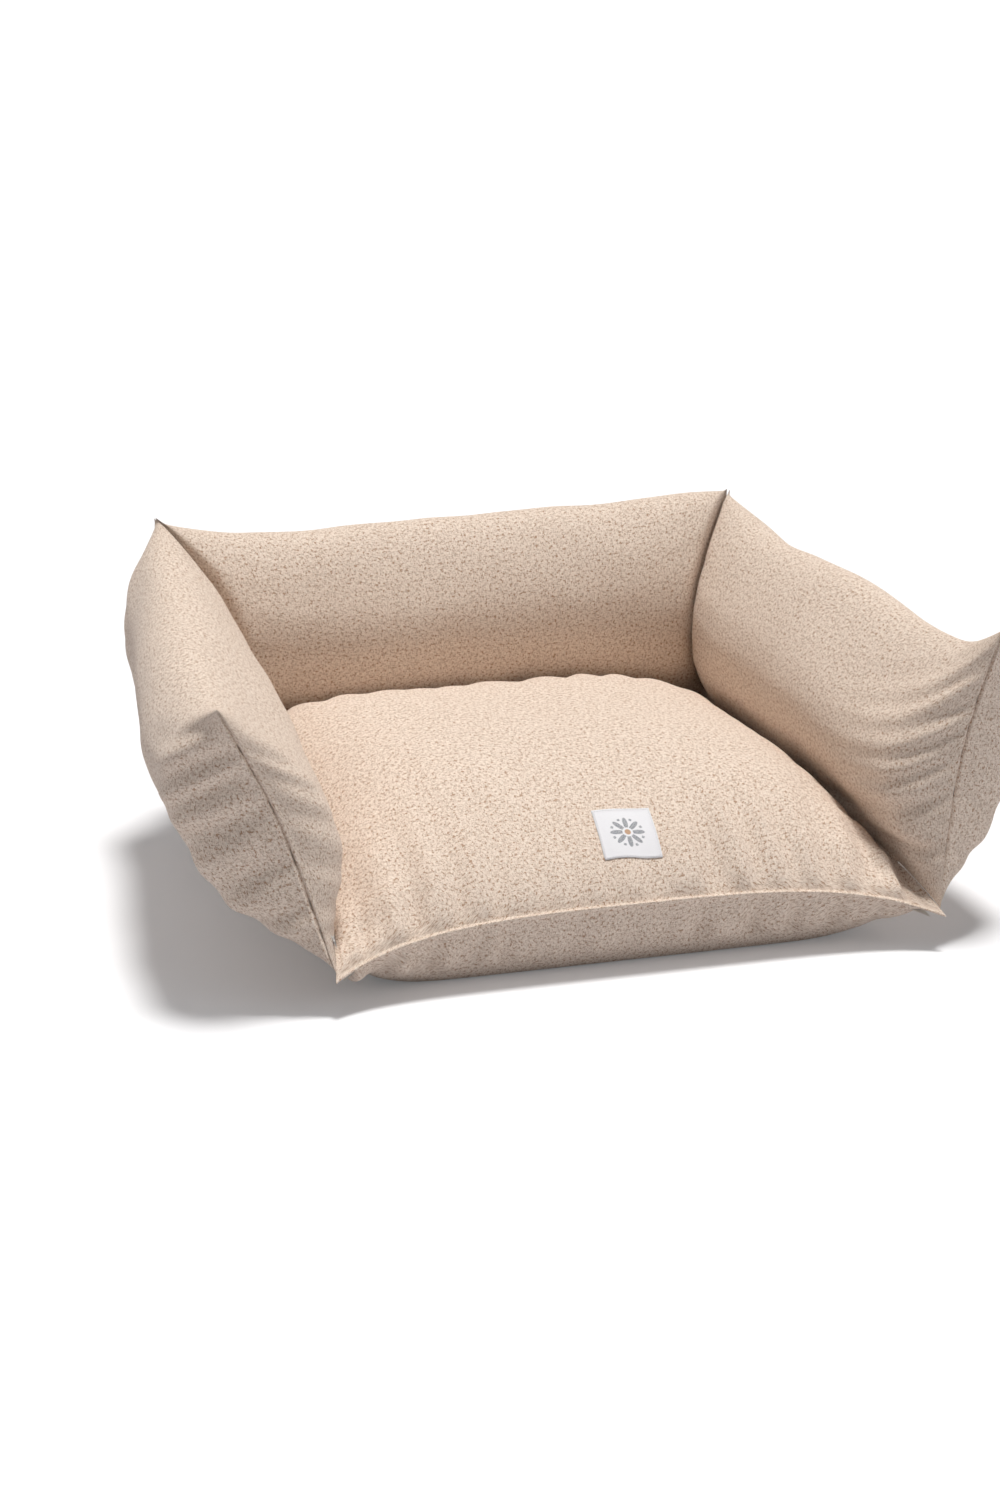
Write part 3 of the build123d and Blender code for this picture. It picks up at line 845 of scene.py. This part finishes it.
def cut_zip_opening(cover, owner):
    """Cuts the rounded opening over the zip, as deep as its tape."""
    centre, along, across, off, length = zip_axes(owner)
    radius = ZIP_OPENING_WIDTH / 2
    straight = (length - ZIP_OPENING_WIDTH) / 2
    outline = []
    for end in (1, -1):
        for turn in np.linspace(-math.pi / 2, math.pi / 2, ARC_STEPS + 1):
            outline.append((end * (straight + math.cos(turn) * radius), end * math.sin(turn) * radius))
    count = len(outline)
    points = []
    for depth in ZIP_OPENING_DEPTHS:
        points += [tuple(centre + along * a + across * b + off * depth) for a, b in outline]
    faces = [tuple(range(count))[::-1], tuple(range(count, 2 * count))]
    faces += [(i, (i + 1) % count, count + (i + 1) % count, count + i) for i in range(count)]
    mesh = bpy.data.meshes.new("opening")
    mesh.from_pydata(points, [], faces)
    cutter = link("opening", mesh)
    cutting = cover.modifiers.new("opening", "BOOLEAN")
    cutting.operation, cutting.solver, cutting.object = "DIFFERENCE", "EXACT", cutter
    depsgraph = bpy.context.evaluated_depsgraph_get()
    cut = bpy.data.meshes.new_from_object(cover.evaluated_get(depsgraph))
    cover.modifiers.clear()
    cover.data = cut
    bpy.data.objects.remove(cutter)
    cover.data.shade_smooth()


# Seat

SEAT_GRID, SEAT_BAG_GRID = 88, 34
SEAT_BAG_INSET = 0.012
CORE_BEND = 0.86 * math.pi / 2

# Powers of a layer's fall to its seams: across the bed, to the front and to the back
TOP_FALL = ((4.2, 0.85), (2.2, 0.717), (5.0, 0.85))
BOTTOM_FALL = ((7, 0.75), (12, 0.75), (7, 0.75))
BOTTOM_SWELL = 1.18

# Pitch, reach off the seam and height of gathers; scale and depth of dents
FRONT_GATHERS = (0.042, 0.026, 0.0085)
FINE_GATHERS = (0.021, 0.012, 0.0040)
SIDE_GATHERS = (0.042, 0.026, 0.0022)
SEAT_DENTS = ((5.0, 0.006), (15.0, 0.0018))
FLOOR_BAND = (0.012, 0.030)
CLOTH_HALVES = (0.29, 0.25)
CALM_X, CALM_Y, CALM_REACH = 0.012, -0.19, 0.05


def seat_grid(seat, count, top, inset=0.0):
    """One layer of the seat. It spans the seam's outline and swells between its sides."""
    root, lip = 1 - 1.15 * seat.edge / seat.front, 1 - 0.35 * seat.edge / seat.front
    core = np.sin(np.linspace(-1, 1, count) * CORE_BEND) / math.sin(CORE_BEND)
    t = np.concatenate([[-1.0, -lip], core * root, [lip, 1.0]])
    u, v = np.meshgrid(t, t, indexing="ij")
    half_y = np.where(v < 0, seat.front, seat.back)
    draw_x = np.abs(v) ** 6 * (seat.tip_x - seat.half_width)
    draw_y = np.abs(u) ** 6 * (seat.tip_y - half_y)
    x = u * (seat.half_width + draw_x - inset)
    y = v * (half_y + draw_y - inset)
    forward = np.clip(-v, 0, 1)
    base = (
        seat.seam_height
        + seat.front_rise * (1 - u**2) * forward**3
        - seat.tip_drop * np.abs(u) ** 3.2 * forward**5
    )
    inner = [np.clip(np.abs(share) / root, 0, 1) for share in (u, v, v)]
    powers = TOP_FALL if top else BOTTOM_FALL
    side, ahead, behind = ((1 - share**a) ** b for share, (a, b) in zip(inner, powers))
    swell = side * np.where(v < 0, ahead, behind)
    if top:
        z = base + (seat.height - seat.seam_height - inset) * swell
    else:
        flat = np.minimum(swell * BOTTOM_SWELL, 1.0)
        z = base * (1 - flat) + inset * flat
    if inset == 0:
        place = np.maximum(np.abs(u), np.abs(v))
        standing = place > root + 1e-6
        thick = np.select([place >= 1, standing], [0.0, seat.edge_thickness / 2], seat.edge_thickness / 4)
        z = z + (thick if top else -thick) + seat.edge * 0.45 * standing
    return np.stack([x, y, z], -1), u, v


def wrinkle_seat(points, u, v, seed, top):
    """Gathers off the seat's seams and corners, and soft hollows over the filling."""
    normals = grid_normals(points)
    if (normals[..., 2].mean() > 0) != top:
        normals = -normals
    x, y, z = (points[..., k] for k in range(3))
    to_side, to_end = ((1 - np.abs(share)) * half for share, half in zip((u, v), CLOTH_HALVES))
    near = np.minimum(to_side, to_end)
    shift = puckers(x, to_end, FRONT_GATHERS, seed) + puckers(x, to_end, FINE_GATHERS, seed + 1)
    shift = shift + puckers(y, to_side, SIDE_GATHERS, seed + 2)
    shift = shift + dents(points, SEAT_DENTS, seed + 3) * smooth_step(near, 0.0, 0.08)
    under_label = np.exp(-((x - CALM_X) ** 2 + (y - CALM_Y) ** 2) / CALM_REACH**2)
    shift = shift * (1 - 0.8 * under_label)
    if not top:
        shift = shift * smooth_step(z, *FLOOR_BAND)
    points = points + normals * (shift * smooth_step(near, 0.0, 0.012))[..., None]
    points[..., 2] = np.maximum(points[..., 2], 0.0)
    return points


def seat_piece(name, upper, lower, u, v, slot):
    """A closed piece from two layers, which share their rim."""
    rim = np.maximum(np.abs(u), np.abs(v)) >= 1
    lower[rim] = upper[rim]
    rows, columns = rim.shape
    quads = grid_faces(rows, columns, flip=True) + grid_faces(rows, columns, rows * columns)
    points, threads = (
        np.concatenate([layer.reshape(-1, layer.shape[-1]) for layer in layers])
        for layers in ((upper, lower), (cloth_lengths(upper), cloth_lengths(lower)))
    )
    piece = mesh_piece(name, points, quads, threads, slot)
    weld(piece)
    return piece


def make_seat(seat):
    """The seat's cover with its standing seam edge, and its filled inner bag."""
    upper, u, v = seat_grid(seat, SEAT_GRID, True)
    lower = seat_grid(seat, SEAT_GRID, False)[0]
    upper = wrinkle_seat(upper, u, v, 21, True)
    lower = lay_on_zip(wrinkle_seat(lower, u, v, 31, False), "seat")
    cover = seat_piece("seat_cover", upper, lower, u, v, "cloth")
    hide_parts("seat_bottom_panel", "seat_top_panel")

    upper, u, v = seat_grid(seat, SEAT_BAG_GRID, True, SEAT_BAG_INSET)
    lower = seat_grid(seat, SEAT_BAG_GRID, False, SEAT_BAG_INSET)[0]
    lower = lay_on_zip(lower, "seat", BAG_UNDER_ZIP)
    bag = seat_piece("seat_inner_bag", upper, lower, u, v, "filling")
    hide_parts("seat_insert")

    cut_zip_opening(cover, "seat")
    subdivide(cover)
    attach(cover, "root")
    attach(bag, "root")


def tube(name, path, radius, sides, slot, finish=None, twist=0.0, ridge=0.0):
    """A round or twisted strand along a path of points, with tapered ends."""
    path = np.array(path, float)
    way = unit(np.gradient(path, axis=0))
    across = unit(np.cross(way, np.array([0, 0, 1.0])))
    up = np.cross(across, way)
    run = running_sum(np.linalg.norm(np.diff(path, axis=0), axis=1))
    angle = np.linspace(0, 2 * np.pi, sides + 1)[None] + 0 * run[:, None]
    size = radius * (1 + ridge * np.cos(2 * angle + twist * run[:, None]))
    for end in (run, run[-1] - run):
        size = size * smooth_step(end, 0, radius * 2)[:, None]
    points = path[:, None] + across[:, None] * (np.cos(angle) * size)[..., None]
    points = points + up[:, None] * (np.sin(angle) * size)[..., None]
    threads = np.stack([run[:, None] + 0 * angle, angle * radius], -1)
    return grid_piece(name, points, threads, slot, finish, 1e-6)


WHIP_PITCH, WHIP_RADIUS, WHIP_RIDGE = 0.009, 0.0024, 0.14


def make_seams(seat):
    """The whipped edge where each bolster is sewn to the seat."""
    t = np.linspace(0, 1, 240)
    twist = 2 * np.pi / WHIP_PITCH
    for side, x in zip(SIDES, (-seat.half_width, None, seat.half_width)):
        low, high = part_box(f"{side}_seam_welt")
        z = 0 * t + ((low + high) / 2).z
        if x is None:
            path = (low.x + (high.x - low.x) * t, 0 * t + seat.back, z)
        else:
            path = (0 * t + x, low.y + (high.y - low.y) * t, z)
        path = np.stack(path, -1)
        piece = tube(f"{side}_seam_edge", path, WHIP_RADIUS, 10, "cloth", twist=twist, ridge=WHIP_RIDGE)
        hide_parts(f"{side}_seam_welt")
        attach(piece, "root")


# Label

LABEL_GRID = 31
HEM_WIDTH, HEM_RISE = 0.06, 0.0003
STITCH_PLACE, STITCHES = 0.47, 20
STITCH_RADIUS, STITCH_BOW = 0.00028, 0.00025
STITCH_START, STITCH_END = 0.12, 0.88


def make_label(seat_cover, label):
    """A woven square that lies on the seat, and the stitches round its edge."""
    surface = BVHTree.FromObject(seat_cover, bpy.context.evaluated_depsgraph_get())
    middle = surface.ray_cast(Vector((label.x, label.y, 1.0)), Vector((0, 0, -1)))[0]
    across = Matrix.Rotation(label.turn, 3, "Z") @ Vector((1, 0, 0))
    off = Matrix.Rotation(label.slope, 3, "X") @ Vector((0, 0, 1))
    across = (across - off * across.dot(off)).normalized()
    up_slope = off.cross(across)

    def place(a, b, lift):
        above = middle + across * (a * label.size) + up_slope * (b * label.size) + off * label.size
        hit, normal, _, _ = surface.ray_cast(above, -off)
        return hit + normal * lift

    points, threads = [], []
    for a in np.linspace(-0.5, 0.5, LABEL_GRID):
        for b in np.linspace(-0.5, 0.5, LABEL_GRID):
            hem = HEM_RISE * (0.5 - max(abs(a), abs(b)) < HEM_WIDTH)
            points.append(place(a, b, label.thickness + hem))
            threads.append((a + 0.5, b + 0.5))
    quads = grid_faces(LABEL_GRID, LABEL_GRID, flip=True)
    ribbon = mesh_piece("label_ribbon", points, quads, threads, "label")
    solid = ribbon.modifiers.new("thickness", "SOLIDIFY")
    solid.thickness = label.thickness
    solid.offset = -1
    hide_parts("label")
    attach(ribbon, "root")

    strands = []
    for start, end in zip(CORNERS, CORNERS[1:] + CORNERS[:1]):
        for k in range(STITCHES):
            samples = []
            for s in np.linspace((k + STITCH_START) / STITCHES, (k + STITCH_END) / STITCHES, 5):
                a, b = (STITCH_PLACE * (start[i] + (end[i] - start[i]) * s) for i in range(2))
                bow = STITCH_BOW * math.sin(math.pi * ((s * STITCHES) % 1))
                samples.append(place(a, b, label.thickness + HEM_RISE + bow))
            strands.append(tube("stitch", samples, STITCH_RADIUS, 6, "label", "label_thread"))
    thread = join(strands, "label_stitches")
    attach(thread, "root")


def join(objects, name):
    """One object from several."""
    with bpy.context.temp_override(
        active_object=objects[0], selected_editable_objects=objects, selected_objects=objects
    ):
        bpy.ops.object.join()
    objects[0].name = name
    objects[0].data.name = name
    return objects[0]


def finish_zips_and_dots():
    """Materials of the pieces that keep their built shape."""
    zip_parts = {"tape": "zip_tape", "coil": "zip_coil", "slider": "zip_metal", "pull": "zip_metal"}
    finishes = {"dot": "hook_and_loop", **zip_parts}
    for name, node in frame["nodes"].items():
        finish = finishes.get(name.split("_")[-1])
        if finish:
            node.data.materials.clear()
            node.data.materials.append(materials[finish])


# Stage

IMAGE_HEIGHT = 1500
SENSOR = 36.0
FLOOR_REACH, FLOOR_DROP, FLOOR_GLOW = 30.0, 0.0003, 0.12


def make_camera(stage):
    """The camera that was fitted to the photo."""
    data = bpy.data.cameras.new("camera")
    data.lens = stage.focal_pixels * SENSOR / IMAGE_HEIGHT
    data.sensor_width = SENSOR
    a, e = stage.azimuth, stage.elevation
    back = Vector((math.sin(a) * math.cos(e), -math.cos(a) * math.cos(e), math.sin(e)))
    right = (-back).cross(Vector((0, 0, 1))).normalized()
    up = right.cross(-back)
    c, s = math.cos(stage.roll), math.sin(stage.roll)
    turn = Matrix((right * c + up * s, up * c - right * s, back)).transposed()
    camera = link("camera", data)
    camera.matrix_world = Matrix.Translation(stage.eye) @ turn.to_4x4()
    bpy.context.scene.camera = camera


def make_sun(name, way, strength, spread, colour=(1, 1, 1)):
    """A distant lamp that shines down from a way, with a soft edge to its shadow."""
    data = bpy.data.lights.new(name, "SUN")
    data.energy, data.angle, data.color = strength, spread, colour
    link(name, data).rotation_euler = (-Vector(way)).to_track_quat("-Z", "Y").to_euler()


def make_floor():
    """A pale floor that the camera sees as white, apart from the bed's shadow."""
    shading = Shading("studio_floor")
    seen = shading.add("ShaderNodeLightPath")
    glow = shading.add("ShaderNodeEmission", inputs={"Color": (1, 1, 1), "Strength": 1.0})
    tone = shading.mix(seen, (0.66, 0.66, 0.69), (0.93, 0.93, 0.95))
    shading.cover(seen * FLOOR_GLOW, glow)
    mesh = bpy.data.meshes.new("floor")
    mesh.from_pydata([(x * FLOOR_REACH, y * FLOOR_REACH, 0) for x, y in CORNERS], [], [(0, 1, 2, 3)])
    mesh.materials.append(shading.finish(Base_Color=tone, Roughness=0.9, Specular_IOR_Level=0.1))
    floor = link("floor", mesh)
    floor.location.z = -FLOOR_DROP


def make_world(stage):
    """A dim room that the camera and glossy pieces see as white."""
    room = Shading("studio", "worlds", "Background", "World Output")
    white = room.add("ShaderNodeBackground", inputs={"Color": (1, 1, 1), "Strength": 1.0})
    seen = room.add("ShaderNodeLightPath")
    room.cover(seen.math("MAXIMUM", seen.output("Is Glossy Ray")), white)
    bpy.context.scene.world = room.finish(Color=(0.95, 0.96, 1.0), Strength=stage.fill_light)


# Operators

class PETBED_OT_materials(bpy.types.Operator):
    """Makes the cloth, thread, label and zip materials"""

    bl_idname = "pet_bed.materials"
    bl_label = "Materials"

    def execute(self, context):
        make_materials(settings("finish"))
        return {"FINISHED"}


class PETBED_OT_seat(bpy.types.Operator):
    """Makes the seat cushion with its inner bag and its sewn edges"""

    bl_idname = "pet_bed.seat"
    bl_label = "Seat"

    def execute(self, context):
        make_seat(settings("seat"))
        make_seams(settings("seat"))
        return {"FINISHED"}


class PETBED_OT_bolsters(bpy.types.Operator):
    """Makes the three bolster pillows with their inner bags"""

    bl_idname = "pet_bed.bolsters"
    bl_label = "Bolsters"

    def execute(self, context):
        forms, corners = bolster_forms(settings("seat"), settings("bolster"))
        for side in SIDES:
            make_bolster(side, forms[side], corners[side], settings("seat"))
        return {"FINISHED"}


class PETBED_OT_label(bpy.types.Operator):
    """Makes the woven label and its stitches"""

    bl_idname = "pet_bed.label"
    bl_label = "Label"

    def execute(self, context):
        make_label(bpy.data.objects["seat_cover"], settings("label"))
        return {"FINISHED"}


class PETBED_OT_zips(bpy.types.Operator):
    """Finishes the zips and the fastening dots"""

    bl_idname = "pet_bed.zips"
    bl_label = "Zips and dots"

    def execute(self, context):
        finish_zips_and_dots()
        return {"FINISHED"}


class PETBED_OT_stage(bpy.types.Operator):
    """Makes the camera, floor and studio light"""

    bl_idname = "pet_bed.stage"
    bl_label = "Stage"

    def execute(self, context):
        stage = settings("stage")
        context.scene.view_settings.view_transform = "Standard"
        make_camera(stage)
        make_floor()
        make_world(stage)
        make_sun("key_light", stage.key_way, stage.key_light, stage.key_spread, (1, 0.99, 0.97))
        make_sun("front_light", stage.front_way, stage.front_light, stage.soft_spread)
        make_sun("left_light", stage.left_way, stage.left_light, stage.soft_spread)
        return {"FINISHED"}


OPERATORS = (
    PETBED_OT_stage, PETBED_OT_materials, PETBED_OT_seat,
    PETBED_OT_bolsters, PETBED_OT_label, PETBED_OT_zips,
)


class PETBED_PT_panel(bpy.types.Panel):
    """Lists the steps that build the bed"""

    bl_label = "Pet bed"
    bl_idname = "PETBED_PT_panel"
    bl_space_type = "VIEW_3D"
    bl_region_type = "UI"
    bl_category = "Pet bed"

    def draw(self, context):
        for operator in OPERATORS:
            self.layout.operator(operator.bl_idname)


GROUPS = {
    "seat": SeatSizes, "bolster": BolsterSizes, "finish": ClothFinish,
    "label": LabelSizes, "stage": StageSettings,
}


def register():
    for item in (*GROUPS.values(), *OPERATORS, PETBED_PT_panel):
        bpy.utils.register_class(item)
    for name, group in GROUPS.items():
        setattr(bpy.types.Scene, "pet_bed_" + name, PointerProperty(type=group))


def unregister():
    for name in GROUPS:
        delattr(bpy.types.Scene, "pet_bed_" + name)
    for item in (PETBED_PT_panel, *reversed(OPERATORS), *reversed(list(GROUPS.values()))):
        bpy.utils.unregister_class(item)


def main():
    register()
    for operator in OPERATORS:
        getattr(bpy.ops.pet_bed, operator.bl_idname.split(".")[1])()


if __name__ == "__main__":
    main()
